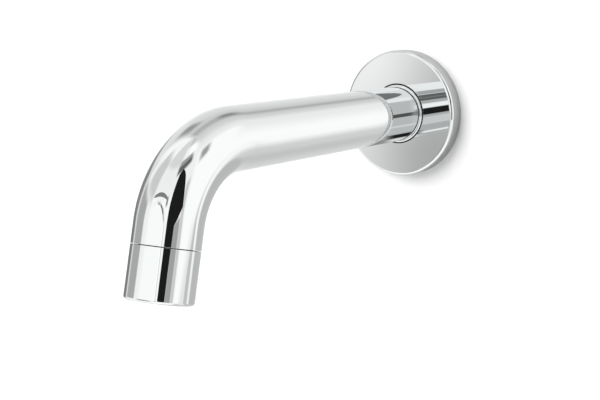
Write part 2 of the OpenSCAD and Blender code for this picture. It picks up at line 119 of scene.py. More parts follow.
class SpoutSizes(bpy.types.PropertyGroup):
    """Sizes of the spout that its solids' boxes don't give."""

    run_length: size("Run", "From the wall to the start of the bend", 128)
    bend_radius: size("Bend radius", "Radius of the bend at the tube's centre line", 37.5)
    bend_angle: angle("Bend angle", "Angle that the bend turns through", math.radians(75))
    drop: size("Drop", "Straight stretch from the bend to the nozzle's joint", 8)
    tube_wall: size("Tube wall", "Wall of the tube", 1.5)
    seam_round: size("Seam rounding", "Rounding of the two edges at the open line above the nozzle", 0.08)
    ring_round: size("Ring rounding", "Rounding of the root ring's front edge", 0.7)
    slide_gap: size("Sliding gap", "Clearance between the root and the nipple's spigot", 0.1)
    joint_gap: size("Joint gap", "Clearance where pieces are brazed or pressed together", 0.05)
    root_lead: size("Root lead-in", "Chamfer at the back of the root's bore", 1)
    edge_break: size("Edge break", "Small rounding that deburring leaves on a turned edge", 0.12)
    grub_place: size("Grub screw place", "Distance of the grub screw from the wall", 16)
    grub_hole: size("Grub hole", "Radius of the grub screw's hole", 2.55)
    grub_band: size("Grub band", "Half length of the band of faces that holds the grub screw's hole", 3.6)
    grub_key: size("Grub key", "Across flats of the grub screw's hexagon socket", 2.5)
    grub_key_depth: size("Grub key depth", "Depth of the grub screw's hexagon socket", 2.4)
    grub_point: size("Grub point", "Length of the grub screw's point", 1)
    flange_round: size("Flange rounding", "Rounding of the flange's front edge", 1.5)
    flange_plate: size("Flange plate", "Thickness of the flange's face plate", 2.5)
    flange_rim: size("Flange rim", "Thickness of the flange's rim", 2)
    flange_hub: size("Flange hub", "Thickness of the flange's hub", 3.5)
    hub_gap: size("Hub gap", "Distance of the hub's back from the wall", 1.5)
    seal_line: size("Seal line", "Gap between the root's ring and the flange that the seal fills", 0.55)
    seal_groove: size("Seal groove", "Depth of the seal's groove in the hub", 1.8)
    seal_width: size("Seal width", "Width of the seal's groove in the hub", 3.2)
    seal_land: size("Seal land", "Metal left in front of the seal's groove", 0.8)
    gasket_width: size("Gasket width", "Width of the foam gasket's ring", 5)
    spigot: size("Spigot", "Radius of the nipple's spigot", 9)
    spigot_chamfer: size("Spigot chamfer", "Chamfer at the spigot's front end", 0.8)
    oring_depth: size("O-ring groove depth", "Depth of the nipple's O-ring grooves", 1.4)
    oring_width: size("O-ring groove width", "Width of the nipple's O-ring grooves", 2.4)
    rear_groove: size("Rear groove", "Where the rear O-ring's groove starts", 21)
    front_groove: size("Front groove", "Where the front O-ring's groove starts", 26)
    grub_groove_depth: size("Grub groove depth", "Depth of the nipple's groove for the grub screw", 1.25)
    grub_groove_width: size("Grub groove width", "Width of the nipple's groove for the grub screw", 6)
    collar: size("Collar", "Thickness of the nipple's collar", 3)
    undercut: size("Undercut", "Width of the undercut behind the collar", 1.6)
    undercut_radius: size("Undercut radius", "Radius at the undercut", 9.3)
    thread_radius: size("Thread radius", "Outside radius of the nipple's thread", 10.4775)
    thread_pitch: size("Thread pitch", "Pitch of the nipple's thread", 1.814)
    thread_depth: size("Thread depth", "Depth of the nipple's thread", 1.16)
    thread_chamfer: size("Thread chamfer", "Chamfer at the thread's end", 1.2)
    waterway: size("Waterway", "Radius of the nipple's drilled waterway", 5.5)
    key: size("Key", "Across flats of the nipple's hexagon socket", 10)
    key_floor: size("Key floor", "Distance of the hexagon socket's floor from the wall", 9.5)
    sleeve_bore: size("Sleeve bore", "Radius of the nozzle sleeve's bore", 11)
    sleeve_round: size("Sleeve rounding", "Rounding of the sleeve's lower edge", 1.2)
    lip: size("Lip", "Thickness of the sleeve's lip", 1.5)
    lip_radius: size("Lip radius", "Radius of the opening in the sleeve's lip", 10)
    lip_round: size("Lip rounding", "Rounding inside that opening", 0.4)
    aerator_bore: size("Aerator bore", "Radius inside the aerator's housing", 9.5)
    ledge_radius: size("Ledge radius", "Radius inside the housing's lower ledge", 8.85)
    ledge: size("Ledge", "Thickness of the housing's lower ledge", 0.8)
    washer_bore: size("Washer bore", "Radius inside the aerator's washer", 8.1)


class SpoutFinishes(bpy.types.PropertyGroup):
    """Colours and sheen of the real finishes, and of the painted shade in the open line at the nozzle."""

    chrome: colour("Chrome", "Bright chrome plate", "#E8EAEA")
    chrome_roughness: number("Chrome roughness", "Blur of the chrome", 0.014)
    brass: colour("Brass", "Turned free-cutting brass", "#C9A25A")
    # Painted shade: the near-black brown of the faces in the open line at the nozzle.
    seam_shade: colour("Tarnish", "Brass dulled by water", "#2A2118")
    steel: colour("Steel", "Drawn stainless steel", "#B9BBBC")
    rubber: colour("Rubber", "Black nitrile rubber", "#161718")
    foam: colour("Foam", "Grey closed-cell foam", "#6E7173")
    fibre: colour("Fibre", "Red vulcanised fibre", "#8C2F22")
    acetal: colour("Acetal", "Natural white acetal", "#E9E8E3")


class StudioSettings(bpy.types.PropertyGroup):
    """Where the camera stands, and the room around the spout."""

    place: point("Camera", "Place of the camera", (0.261842, -0.421162, 0.038215))
    yaw: angle("Yaw", "Turn of the camera from the wall's normal", 0.662971)
    pitch: angle("Pitch", "Tilt of the camera above level", -0.160244)
    roll: angle("Roll", "Roll of the camera", -0.037288)
    lens: number("Lens", "Focal length in millimetres for a 36 mm sensor", 60.861)
    nudge: number("Nudge", "Shift of the camera, as a share of the picture's width", 0.5 / 600)
    wall: colour("Wall", "Pale wall and floor", "#F2F2F2")
    wall_width: size("Wall width", "Width of the wall", 3000)
    wall_height: size("Wall height", "Height of the wall", 2400)
    floor_width: size("Floor width", "Width and depth of the floor", 12000)
    floor_drop: size("Floor drop", "Distance of the floor below the run", 1000)
    floor_glow: number("Floor glow", "Share of plain white in the floor", 0.85)
    ambient: number("Ambient", "Level of the room's light on dull surfaces", 0.16)
    key_power: FloatProperty(name="Key", description="Power of the key light", default=126, unit="POWER")
    key_size: size("Key size", "Width of the key light", 3400)
    key_place: point("Key place", "Place of the key light", (-1.15, -2.3, 1.5))
    nozzle: point("Nozzle", "Place in the nozzle that the cards are hung round", (0, -0.17, -0.04))
    card_distance: size("Card distance", "Distance of the doorway and the rail from the nozzle", 1900)
    # Painted shade: the near wall's grey, darker than the pale wall, deepens the shadow that the flange's rim
    # mirrors.
    near_wall_shade: colour("Near wall colour", "Wall that the flange's rim mirrors", "#C4C4C4")
    near_wall: size("Near wall", "Radius of the wall that the flange's rim mirrors", 36.5)
    near_lift: size("Near wall lift", "How far that wall stands out from the pale wall", 0.02)
    sides: IntProperty(name="Sides", description="Facets round a turned piece", default=192, min=24, max=384)


def sizes():
    """The scene's sizes."""
    return bpy.context.scene.spout_sizes


def reach(node):
    """How far a node on the run reaches from the wall, as its nearest and furthest distance."""
    low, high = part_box(node)
    return -high.y, -low.y


def half_width(node):
    """Outside radius of a round node."""
    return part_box(node)[1].x


# Places along the spout, as the centre line's point, its direction and the side that is up on the run.


def on_spine(x):
    """The spout's centre line at the distance x from the wall, measured along the tube."""
    s = sizes()
    turn = min(max((x - s.run_length) / s.bend_radius, 0), s.bend_angle)
    direction = Vector((0, -math.cos(turn), -math.sin(turn)))
    side = Vector((0, -math.sin(turn), math.cos(turn)))
    if turn == 0:
        return direction * x, direction, side
    start = Vector((0, -s.run_length, -s.bend_radius))
    past = x - s.run_length - s.bend_radius * turn
    return start + side * s.bend_radius + direction * past, direction, side


def bend_end():
    """Distance along the tube to the end of the bend."""
    s = sizes()
    return s.run_length + s.bend_radius * s.bend_angle


def on_outlet(x):
    """The outlet's centre line at the distance x from the end of the bend."""
    return on_spine(bend_end() + x)


def outlet_reach(node):
    """How far a round node in the outlet reaches from the bend's end, as its nearest and furthest distance."""
    start, direction, _ = on_outlet(0)
    along = [(v.co - start).dot(direction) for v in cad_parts[node].data.vertices]
    return min(along), max(along)


def on_grub(x):
    """The grub screw's centre line at the distance x from the tube's."""
    direction = Vector((0, 0, -1))
    return Vector((0, -sizes().grub_place, 0)) + direction * x, direction, direction.cross(OVER_X)


# Turned pieces


def put(name, data):
    """A new object, put in the scene."""
    made = bpy.data.objects.new(name, data)
    bpy.context.scene.collection.objects.link(made)
    return made


def outline(corners):
    """Stations round a closed outline of corners, with the outward normal at each and the corners rounded."""
    stations = []
    for i, corner in enumerate(corners):
        before, after = corners[i - 1], corners[(i + 1) % len(corners)]
        u = Vector((corner.x - before.x, corner.r - before.r)).normalized()
        v = Vector((after.x - corner.x, after.r - corner.r)).normalized()
        n_u, n_v = Vector((u.y, -u.x)), Vector((v.y, -v.x))
        here = Vector((corner.x, corner.r))
        turn = math.atan2(u.x * v.y - u.y * v.x, u.dot(v))
        if corner.round == 0:
            stations += [Station(*here, *n_u), Station(*here, *n_v)]
            continue
        way = math.copysign(corner.round, turn)
        middle = here - u * corner.round * math.tan(abs(turn) / 2) - n_u * way
        steps = max(ROUND_LEAST, math.ceil(abs(turn) / ROUND_STEP))
        for k in range(steps + 1):
            n = Matrix.Rotation(turn * k / steps, 2) @ n_u
            stations.append(Station(*(middle + n * way), *n))
    return stations


def divided(stations, cuts):
    """Pairs of neighbouring stations, with a pair that runs past some cuts divided there."""
    pairs = []
    for a, b in zip(stations, stations[1:] + stations[:1]):
        if abs(a.x - b.x) + abs(a.r - b.r) < SAME_PLACE or a.r + b.r < SAME_PLACE:
            continue
        inner = [c for c in cuts if min(a.x, b.x) + SAME_PLACE < c < max(a.x, b.x) - SAME_PLACE]
        stops = [a]
        for c in sorted(inner, reverse=a.x > b.x):
            t = (c - a.x) / (b.x - a.x)
            stops.append(Station(*(p + (q - p) * t for p, q in zip(a, b))))
        stops.append(b)
        pairs += list(zip(stops, stops[1:]))
    return pairs


def piece(name, place, corners, material, replaced=None, cuts=(), shape=None, hole=None, shaded_end=None):
    """A turned or bent piece: its outline swept round a centre line, with exact normals for clean mirroring.

    shape gives the radius where it varies round the piece. hole is a radial hole in the underside: its place,
    its radius and its half band. The last argument gives the other finish of one flat end face, and where that
    face is: a near-black finish, painted shade in the open line at the nozzle.
    """
    count = bpy.context.scene.spout_studio.sides
    vertices, rings, faces, normals, on_shaded_end, bores = [], {}, [], [], [], []
    patch = max(1, round(count * HOLE_PATCH / 360))
    bottom = int(count * UNDERSIDE)

    def spot(x, r, theta):
        centre, _, side = place(x)
        return centre + r * (math.cos(theta) * OVER_X + math.sin(theta) * side)

    def ring(station):
        key = (round(station.x / MM, 5), round(station.r / MM, 5))
        if key not in rings:
            if station.r < SAME_PLACE:
                vertices.append(place(station.x)[0])
                rings[key] = [len(vertices) - 1] * count
            else:
                rings[key] = list(range(len(vertices), len(vertices) + count))
                for j in range(count):
                    theta = math.tau * j / count
                    r = shape(station.x, station.r, theta) if shape else station.r
                    vertices.append(spot(station.x, r, theta))
        return rings[key]

    def normal(station, theta, toward=None):
        _, direction, side = place(station.x)
        radial = math.cos(theta) * OVER_X + math.sin(theta) * side
        if shape and toward and station.r > SAME_PLACE and abs(station.nr) > RADIAL:
            d = SLOPE_STEP
            x = station.x + (toward[0] - station.x) * INTO_FACE
            t = theta + (toward[1] - theta) * INTO_FACE
            r = shape(x, station.r, t)
            if abs(r - station.r) > SAME_RADIUS:
                slope_x = (shape(x + d, station.r, t) - shape(x - d, station.r, t)) / (2 * d)
                slope_t = (shape(x, station.r, t + d / r) - shape(x, station.r, t - d / r)) / (2 * d)
                around = -math.sin(theta) * OVER_X + math.cos(theta) * side
                n = radial - slope_x * direction - slope_t * around
                return (n * math.copysign(1, station.nr)).normalized()
        return direction * station.nx + radial * station.nr

    def face(points, end_shaded=False):
        seen, loop = [], []
        for index, n in points:
            if index not in seen:
                seen.append(index)
                loop.append(n)
        if len(seen) > 2:
            faces.append(seen)
            normals.extend(loop)
            on_shaded_end.append(int(end_shaded))

    for a, b in divided(outline(corners), sorted(cuts)):
        low, high = ring(a), ring(b)
        end_shaded = shaded_end is not None and max(abs(a.x - shaded_end[1]), abs(b.x - shaded_end[1])) < SAME_PLACE
        pierced = (
            hole
            and abs(a.r - b.r) < SAME_RADIUS
            and abs(a.nx) < LEVEL
            and min(a.x, b.x) > hole[0] - hole[2] - SAME_PLACE
            and max(a.x, b.x) < hole[0] + hole[2] + SAME_PLACE
        )
        for j in range(count):
            if pierced and -patch <= j - bottom < patch:
                continue
            k = (j + 1) % count
            t0, t1 = math.tau * j / count, math.tau * (j + 1) / count
            middle = ((a.x + b.x) / 2, (t0 + t1) / 2)
            face(
                [
                    (low[j], normal(a, t0, middle)),
                    (high[j], normal(b, t0, middle)),
                    (high[k], normal(b, t1, middle)),
                    (low[k], normal(a, t1, middle)),
                ],
                end_shaded,
            )
        if pierced:
            bores.append((a, b))

    for sign in (1, -1) if hole else ():
        band = [pair for pair in bores if pair[0].nr * sign > 0]
        stops = sorted({s.x: s for pair in band for s in pair}.values())
        rim = [(s, bottom - patch) for s in stops]
        rim += [(stops[-1], j) for j in range(bottom - patch + 1, bottom + patch)]
        rim += [(s, bottom + patch) for s in reversed(stops)]
        rim += [(stops[0], j) for j in range(bottom + patch - 1, bottom - patch, -1)]
        edge = []
        for s, j in rim:
            theta = math.tau * j / count
            across = s.r * math.sin(theta - math.tau * UNDERSIDE)
            turn = math.atan2(across, s.x - hole[0])
            x = hole[0] + hole[1] * math.cos(turn)
            t = math.tau * UNDERSIDE + math.asin(hole[1] * math.sin(turn) / s.r)
            vertices.append(spot(x, s.r, t))
            edge.append((len(vertices) - 1, Station(x, s.r, 0, sign), t, turn))
        for i, (s, j) in enumerate(rim):
            s2, j2 = rim[(i + 1) % len(rim)]
            e, e2 = edge[i], edge[(i + 1) % len(edge)]
            loop = [
                (ring(s)[j], normal(s, math.tau * j / count)),
                (ring(s2)[j2], normal(s2, math.tau * j2 / count)),
                (e2[0], normal(e2[1], e2[2])),
                (e[0], normal(e[1], e[2])),
            ]
            face(loop if sign < 0 else loop[::-1])
        if sign > 0:
            outer = edge
        else:
            for i in range(len(edge)):
                loop = []
                for line, at in ((outer, i), (outer, i + 1), (edge, i + 1), (edge, i)):
                    index, s, t, turn = line[at % len(line)]
                    _, direction, _ = place(s.x)
                    loop.append((index, -(direction * math.cos(turn) + OVER_X * math.sin(turn))))
                face(loop)

    mesh = bpy.data.meshes.new(name)
    mesh.from_pydata([tuple(v) for v in vertices], [], faces)
    mesh.polygons.foreach_set("use_smooth", [True] * len(mesh.polygons))
    mesh.normals_split_custom_set([tuple(n.normalized()) for n in normals])
    mesh.materials.append(bpy.data.materials[material])
    if shaded_end:
        mesh.materials.append(bpy.data.materials[shaded_end[0]])
        mesh.polygons.foreach_set("material_index", on_shaded_end)
    mesh.update()
    made = put(name, mesh)
    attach(made, BODY)
    if replaced:
        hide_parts(replaced)
    return made


def hexagon(flats):
    """A radius that turns a bore of that size across flats into a hexagon socket, and is round elsewhere."""

    def radius(x, r, theta):
        return r / math.cos(theta % (math.pi / 3) - math.pi / 6) if abs(r - flats / 2) < SAME_PLACE else r

    return radius


def threaded(pitch, depth, outer, start, flats):
    """A radius that follows a rounded screw thread behind its start, and a hexagon socket inside."""
    socket = hexagon(flats)
    inside = outer - depth * 1.1

    def radius(x, r, theta):
        if x < start + SAME_PLACE and r > inside:
            wave = 0.5 - 0.5 * math.cos(math.tau * x / pitch + theta)
            return min(r, outer - depth * wave)
        return socket(x, r, theta)

    return radius


# Finishes

WAVE = math.pi / 10  # scale at which a wave texture repeats once a metre


def add(tree, kind, inputs=None, **settings):
    """Adds a node with its settings. An input is a value or the socket that it is linked from."""
    node = tree.nodes.new(kind)
    for key, value in settings.items():
        setattr(node, key, value)
    for key, value in (inputs or {}).items():
        if isinstance(value, bpy.types.NodeSocket):
            tree.links.new(value, node.inputs[key])
        else:
            node.inputs[key].default_value = value
    return node


def turned(tree, at, grain):
    """Fine rings that a lathe tool leaves across the run."""
    wave = add(
        tree,
        "ShaderNodeTexWave",
        {"Vector": at, "Scale": WAVE / grain, "Distortion": 0.6, "Detail": 2.0},
        wave_type="BANDS",
        bands_direction="Y",
    )
    return wave.outputs["Fac"]


def pores(tree, at, grain):
    """Open cells of a cut foam."""
    cells = add(tree, "ShaderNodeTexVoronoi", {"Vector": at, "Scale": 1 / grain, "Randomness": 1.0})
    return cells.outputs["Distance"]


def woven(tree, at, grain):
    """Crossing wires of a mesh that lies across the outlet."""
    tilt = sizes().bend_angle - math.pi / 2
    flat = add(tree, "ShaderNodeVectorRotate", {"Vector": at, "Angle": tilt}, rotation_type="X_AXIS")
    scale = WAVE / grain
    one = add(tree, "ShaderNodeTexWave", {"Vector": flat.outputs[0], "Scale": scale}, bands_direction="X")
    two = add(tree, "ShaderNodeTexWave", {"Vector": flat.outputs[0], "Scale": scale}, bands_direction="Y")
    both = add(tree, "ShaderNodeMath", {0: one.outputs["Fac"], 1: two.outputs["Fac"]}, operation="MAXIMUM")
    return both.outputs[0]


def blank(name):
    """A new material without nodes."""
    material = bpy.data.materials.new(name)
    material.use_nodes = True
    material.node_tree.nodes.clear()
    return material


def finish(name, base, roughness, grain, relief, mottle, spread=0.3, metallic=0.0, specular=0.5, marks=None):
    """A material with the size of its grain and the height of its relief in mm.

    mottle and spread are how far its colour and its sheen vary, as shares. marks makes a pattern from the place
    and the grain. Without it the surface has fine irregular grain.
    """
    tree = blank(name).node_tree
    place = add(tree, "ShaderNodeTexCoord").outputs["Object"]
    if marks:
        height = marks(tree, place, grain * MM)
    else:
        noise = add(tree, "ShaderNodeTexNoise", {"Vector": place, "Scale": 1 / (grain * MM), "Detail": 4.0})
        height = noise.outputs["Fac"]
    sheen = add(
        tree,
        "ShaderNodeMapRange",
        {
            "Value": height,
            "From Min": 0.3,
            "From Max": 0.7,
            "To Min": roughness * (1 - spread),
            "To Max": roughness * (1 + spread),
        },
    )
    tint = add(
        tree,
        "ShaderNodeMixRGB",
        {
            "Fac": height,
            "Color1": [c * (1 - mottle) for c in base] + [1],
            "Color2": [min(1, c * (1 + mottle)) for c in base] + [1],
        },
    )
    bump = add(tree, "ShaderNodeBump", {"Height": height, "Distance": relief * MM, "Strength": 1.0})
    shader = add(
        tree,
        "ShaderNodeBsdfPrincipled",
        {
            "Base Color": tint.outputs["Color"],
            "Roughness": sheen.outputs["Result"],
            "Metallic": metallic,
            "Specular IOR Level": specular,
            "Normal": bump.outputs["Normal"],
        },
    )
    add(tree, "ShaderNodeOutputMaterial", {"Surface": shader.outputs["BSDF"]})


def dress(node, material):
    """Gives a carried-over solid its finish."""
    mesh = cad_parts[node].data
    mesh.materials.clear()
    mesh.materials.append(bpy.data.materials[material])


class SPOUT_OT_finishes(bpy.types.Operator):
    """Makes the spout's finishes"""

    bl_idname = "spout.finishes"
    bl_label = "Make finishes"

    def execute(self, context):
        f = context.scene.spout_finishes
        # Bright chrome plate: mirror-like, with the faint waviness that polishing leaves under it.
        finish("chrome_plate", f.chrome, f.chrome_roughness, grain=11, relief=0.004, mottle=0.006, metallic=1.0)
        # Bare free-cutting brass: warm, half bright, with rings from the tool, drawn coarse enough to show.
        finish("bare_brass", f.brass, 0.24, grain=0.45, relief=0.006, mottle=0.06, metallic=1.0, marks=turned)
        # Brass painted near black behind the open line at the nozzle, as painted shade in that narrow gap.
        finish("seam_shade_brass", f.seam_shade, 0.6, grain=0.8, relief=0.004, mottle=0.3, spread=0.2, specular=0.2)
        # Stainless steel: cool grey, a little blurred by drawing.
        finish("drawn_steel", f.steel, 0.28, grain=0.6, relief=0.002, mottle=0.05, metallic=1.0)
        # Woven stainless wire, drawn coarser than the real 0.3 mm pitch: bright wires, with painted shade in
        # the dark holes between them.
        finish("woven_wire", f.steel, 0.3, grain=0.5, relief=0.08, mottle=0.7, metallic=1.0, marks=woven)
        # Moulded nitrile rubber: near black, with little sheen.
        finish("nitrile_rubber", f.rubber, 0.55, grain=0.8, relief=0.01, mottle=0.2, spread=0.2, specular=0.2)
        # Closed-cell foam: grey and dull, with the cells that its knife opened.
        finish("closed_cell_foam", f.foam, 0.9, grain=0.7, relief=0.12, mottle=0.25, spread=0.05, marks=pores)
        # Vulcanised fibre: dark red, dull, with short fibres.
        finish("vulcanised_fibre", f.fibre, 0.75, grain=0.6, relief=0.03, mottle=0.25, spread=0.1)
        # Moulded acetal: white, waxy, nearly even.
        finish("natural_acetal", f.acetal, 0.38, grain=3, relief=0.006, mottle=0.02, spread=0.15)
        for material, nodes in {
            "natural_acetal": ("filter_screen", "flow_regulator", "jet_plate", "mesh_spacer", "outlet_grille"),
            "nitrile_rubber": ("rear_oring", "front_oring", "sleeve_oring", "regulator_oring"),
            "woven_wire": ("upper_mesh", "lower_mesh"),
            # The spigot shows only in the open line at the nozzle, where it is painted near black as painted
            # shade.
            "seam_shade_brass": ("outlet_spigot",),
        }.items():
            for node in nodes:
                dress(node, material)
        return {"FINISHED"}


def flat_ring(back, front, inner, outer, edge=0):
    """The outline of a flat ring, with its outer edges rounded."""
    return [Corner(back, inner), Corner(front, inner), Corner(front, outer, edge), Corner(back, outer, edge)]


def hole_cuts(middle, half):
    """Places that divide the band round a radial hole."""
    return [middle - half + half * k / HOLE_STEPS for k in range(2 * HOLE_STEPS + 1)]


class SPOUT_OT_tube(bpy.types.Operator):
    """Makes the bent tube, with the hole for the grub screw in its underside"""

    bl_idname = "spout.tube"
    bl_label = "Make tube"

    def execute(self, context):
        s = sizes()
        outer = half_width("spout_tube")
        inner = outer - s.tube_wall
        start, end = reach("spout_tube")[0], bend_end() + s.drop
        arc = [s.run_length + s.bend_radius * s.bend_angle * k / BEND_STEPS for k in range(BEND_STEPS + 1)]
        corners = [
            Corner(start, inner),
            Corner(end, inner),
            Corner(end, outer, s.seam_round),
            Corner(start, outer),
        ]
        cuts = arc + hole_cuts(s.grub_place, s.grub_band)
        hole = (s.grub_place, s.grub_hole, s.grub_band)
        # The tube's end face in the open line at the nozzle is painted near black, as painted shade.
        shaded_end = ("seam_shade_brass", end)
        piece("tube", on_spine, corners, "chrome_plate", "spout_tube", cuts=cuts, hole=hole, shaded_end=shaded_end)
        return {"FINISHED"}


class SPOUT_OT_root(bpy.types.Operator):
    """Makes the root bush in the tube's end, with its ring, and the grub screw"""

    bl_idname = "spout.root"
    bl_label = "Make root"

    def execute(self, context):
        s = sizes()
        back, front = reach("inlet_bush")
        ring, ring_front = half_width("inlet_bush"), reach("spout_tube")[0]
        bore = s.spigot + s.slide_gap
        inside = half_width("spout_tube") - s.tube_wall - s.joint_gap
        corners = [
            Corner(back, bore + s.root_lead),
            Corner(back + s.root_lead, bore),
            Corner(front, bore),
            Corner(front, inside),
            Corner(ring_front, inside),
            Corner(ring_front, ring, s.ring_round),
            Corner(back, ring, s.edge_break),
        ]
        cuts = hole_cuts(s.grub_place, s.grub_band)
        hole = (s.grub_place, s.grub_hole, s.grub_band)
        piece("root", on_spine, corners, "chrome_plate", "inlet_bush", cuts=cuts, hole=hole)
        low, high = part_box("grub_screw")
        tip, top, r = -high.z, -low.z, half_width("grub_screw")
        socket = top - s.grub_key_depth
        corners = [
            Corner(tip, 0),
            Corner(socket, 0),
            Corner(socket, s.grub_key / 2),
            Corner(top, s.grub_key / 2),
            Corner(top, r, s.edge_break),
            Corner(tip + s.grub_point, r),
            Corner(tip, r - s.grub_point),
        ]
        piece("grub", on_grub, corners, "drawn_steel", "grub_screw", shape=hexagon(s.grub_key))
        return {"FINISHED"}


class SPOUT_OT_flange(bpy.types.Operator):
    """Makes the wall flange, its seal and the foam gasket behind it"""

    bl_idname = "spout.flange"
    bl_label = "Make flange"

    def execute(self, context):
        s = sizes()
        back, face = reach("wall_flange")
        r = half_width("wall_flange")
        ring = half_width("inlet_bush")
        hole = ring + s.seal_line
        plate = face - s.flange_plate
        groove_front = face - s.seal_land
        groove_back = groove_front - s.seal_width
        corners = [
            Corner(s.hub_gap, hole),
            Corner(groove_back, hole),
            Corner(groove_back, hole + s.seal_groove),
            Corner(groove_front, hole + s.seal_groove),
            Corner(groove_front, hole),
            Corner(face, hole, s.edge_break),
            Corner(face, r, s.flange_round),
            Corner(back, r, s.edge_break),
            Corner(back, r - s.flange_rim, s.edge_break),
            Corner(plate, r - s.flange_rim, s.edge_break),
            Corner(plate, hole + s.flange_hub, s.edge_break),
            Corner(s.hub_gap, hole + s.flange_hub, s.edge_break),
        ]
        piece("flange", on_spine, corners, "chrome_plate", "wall_flange")
        gap = s.joint_gap
        seal_back, seal_front = reach("flange_seal")
        corners = [
            Corner(seal_back, ring + gap),
            Corner(seal_front, ring + gap, s.edge_break),
            Corner(seal_front, hole - gap, s.edge_break),
            Corner(groove_front - gap, hole - gap),
            Corner(groove_front - gap, hole + s.seal_groove - gap),
            Corner(seal_back, hole + s.seal_groove - gap),
        ]
        piece("seal", on_spine, corners, "nitrile_rubber", "flange_seal")
        back, front = reach("wall_gasket")
        r = half_width("wall_gasket")
        corners = flat_ring(back, front, r - s.gasket_width, r)
        piece("gasket", on_spine, corners, "closed_cell_foam", "wall_gasket")
        return {"FINISHED"}


class SPOUT_OT_outlet(bpy.types.Operator):
    """Makes the nozzle sleeve and the aerator's housing and washer"""

    bl_idname = "spout.outlet"
    bl_label = "Make outlet"

    def execute(self, context):
        s = sizes()
        top, tip = outlet_reach("nozzle_sleeve")
        r = half_width("nozzle_sleeve")
        corners = [
            Corner(top, s.sleeve_bore),
            Corner(tip - s.lip, s.sleeve_bore),
            Corner(tip - s.lip, s.lip_radius),
            Corner(tip, s.lip_radius, s.lip_round),
            Corner(tip, r, s.sleeve_round),
            Corner(top, r, s.seam_round),
        ]
        # The sleeve's top face in the open line is painted near black, as painted shade.
        piece("sleeve", on_outlet, corners, "chrome_plate", "nozzle_sleeve", shaded_end=("seam_shade_brass", top))
        top, low = outlet_reach("aerator_housing")
        r = half_width("aerator_housing")
        corners = [
            Corner(top, s.aerator_bore),
            Corner(low - s.ledge, s.aerator_bore),
            Corner(low - s.ledge, s.ledge_radius),
            Corner(low, s.ledge_radius, s.edge_break),
            Corner(low, r, s.edge_break),
            Corner(top, r),
        ]
        piece("housing", on_outlet, corners, "natural_acetal", "aerator_housing")
        top, low = outlet_reach("aerator_washer")
        r = half_width("aerator_washer")
        corners = flat_ring(top, low, s.washer_bore, r)
        piece("washer", on_outlet, corners, "nitrile_rubber", "aerator_washer")
        return {"FINISHED"}


class SPOUT_OT_wall_joint(bpy.types.Operator):
    """Makes the nipple that the spout slides on, and the fibre washer behind its collar"""

    bl_idname = "spout.wall_joint"
    bl_label = "Make wall joint"

    def execute(self, context):
        s = sizes()
        back, front = reach("thread_washer")
        r = half_width("thread_washer")
        corners = flat_ring(back, front, s.thread_radius + s.joint_gap, r, s.edge_break)
        piece("fibre", on_spine, corners, "vulcanised_fibre", "thread_washer")
        end, tip = reach("wall_nipple")
        collar_back, thread = -s.collar, -s.collar - s.undercut
        ring_floor, grub_floor = s.spigot - s.oring_depth, s.spigot - s.grub_groove_depth
        grub_back = s.grub_place - s.grub_groove_width / 2
        corners = [
            Corner(end, s.waterway),
            Corner(s.key_floor, s.waterway),
            Corner(s.key_floor, s.key / 2),
            Corner(tip, s.key / 2),
            Corner(tip, s.spigot - s.spigot_chamfer),
            Corner(tip - s.spigot_chamfer, s.spigot),
        ]
        for start, width, floor in (
            (s.front_groove, s.oring_width, ring_floor),
            (s.rear_groove, s.oring_width, ring_floor),
            (grub_back, s.grub_groove_width, grub_floor),
        ):
            corners += [
                Corner(start + width, s.spigot, s.edge_break),
                Corner(start + width, floor),
                Corner(start, floor),
                Corner(start, s.spigot, s.edge_break),
            ]
        corners += [
            Corner(0, s.spigot),
            Corner(0, half_width("wall_nipple"), s.edge_break),
            Corner(collar_back, half_width("wall_nipple"), s.edge_break),
            Corner(collar_back, s.undercut_radius),
            Corner(thread, s.undercut_radius),
            Corner(thread, s.thread_radius),
            Corner(end + s.thread_chamfer, s.thread_radius),
            Corner(end, s.thread_radius - s.thread_chamfer),
        ]
        steps = math.ceil((thread - end) / s.thread_pitch * THREAD_STEPS)
        piece(
            "nipple",
            on_spine,
            corners,
            "bare_brass",
            "wall_nipple",
            cuts=[end + (thread - end) * k / steps for k in range(steps)],
            shape=threaded(s.thread_pitch, s.thread_depth, s.thread_radius, thread, s.key),
        )
        return {"FINISHED"}


# The room that the chrome mirrors: soft boxes, screens and dark gaps round a pale base, chosen from
# readings of the photographed chrome. Angles are in degrees. A level is the sRGB value that the chrome shows.

REFLECTANCE = 0.81
PALE = 238
BLEND = 0.05  # part of a direction's length, off the wall's plane, over which the two sides run together
Panel = namedtuple("Panel", "a0 a1 b0 b1 soft_a soft_b level")

# In front of the wall, by azimuth from the wall's normal and height above level.
FRONT = (
    Panel(-68, -28, 28, 62, 6, 6, 200),  # screen on the upper left
    Panel(-84, -66, 44, 84, 4, 4, 246),  # soft box past it
    Panel(-72, -26, 66, 84, 5, 5, 244),  # and over it
    Panel(-26, 40, 58, 88, 6, 4, 212),  # ceiling
    Panel(-26, 34, 41, 57, 5, 4, 236),  # lit strip under it
    Panel(60, 98, 62, 76, 5, 3, 251),  # soft box on the upper right
    Panel(44, 100, 76, 90, 5, 3, 200),
    Panel(-27, 62, -4, 33, 7, 3, 248),  # main soft box
    Panel(-81, -45, -6, 24, 3, 4, 166),  # grey screen on the left
    Panel(-100, -89, -14, 14, 1.5, 3, 130),  # dark gap on the left
    Panel(-89, -83, -8, 34, 1.5, 3, 206),  # light past its edge
    Panel(26, 32, 27, 34, 1.5, 2, 130),  # post of the arched rail
    Panel(39, 78, 49, 58, 4, 2.5, 100),  # dim ceiling over the dark doorway
    Panel(40, 76, 57, 62, 4, 2, 148),
    Panel(60.3, 78, -12, 8.5, 2.5, 2, 158),  # curtain right of it
    Panel(79, 87, -8, 29, 1, 3, 200),
    Panel(-33, 10, -40, -4, 4.5, 3, 148),  # floor
    Panel(-31, 0, -9, 3, 3, 3, 172),
    Panel(-95, 95, -80, -34, 6, 5, 252),  # and its lit part below the spout
)

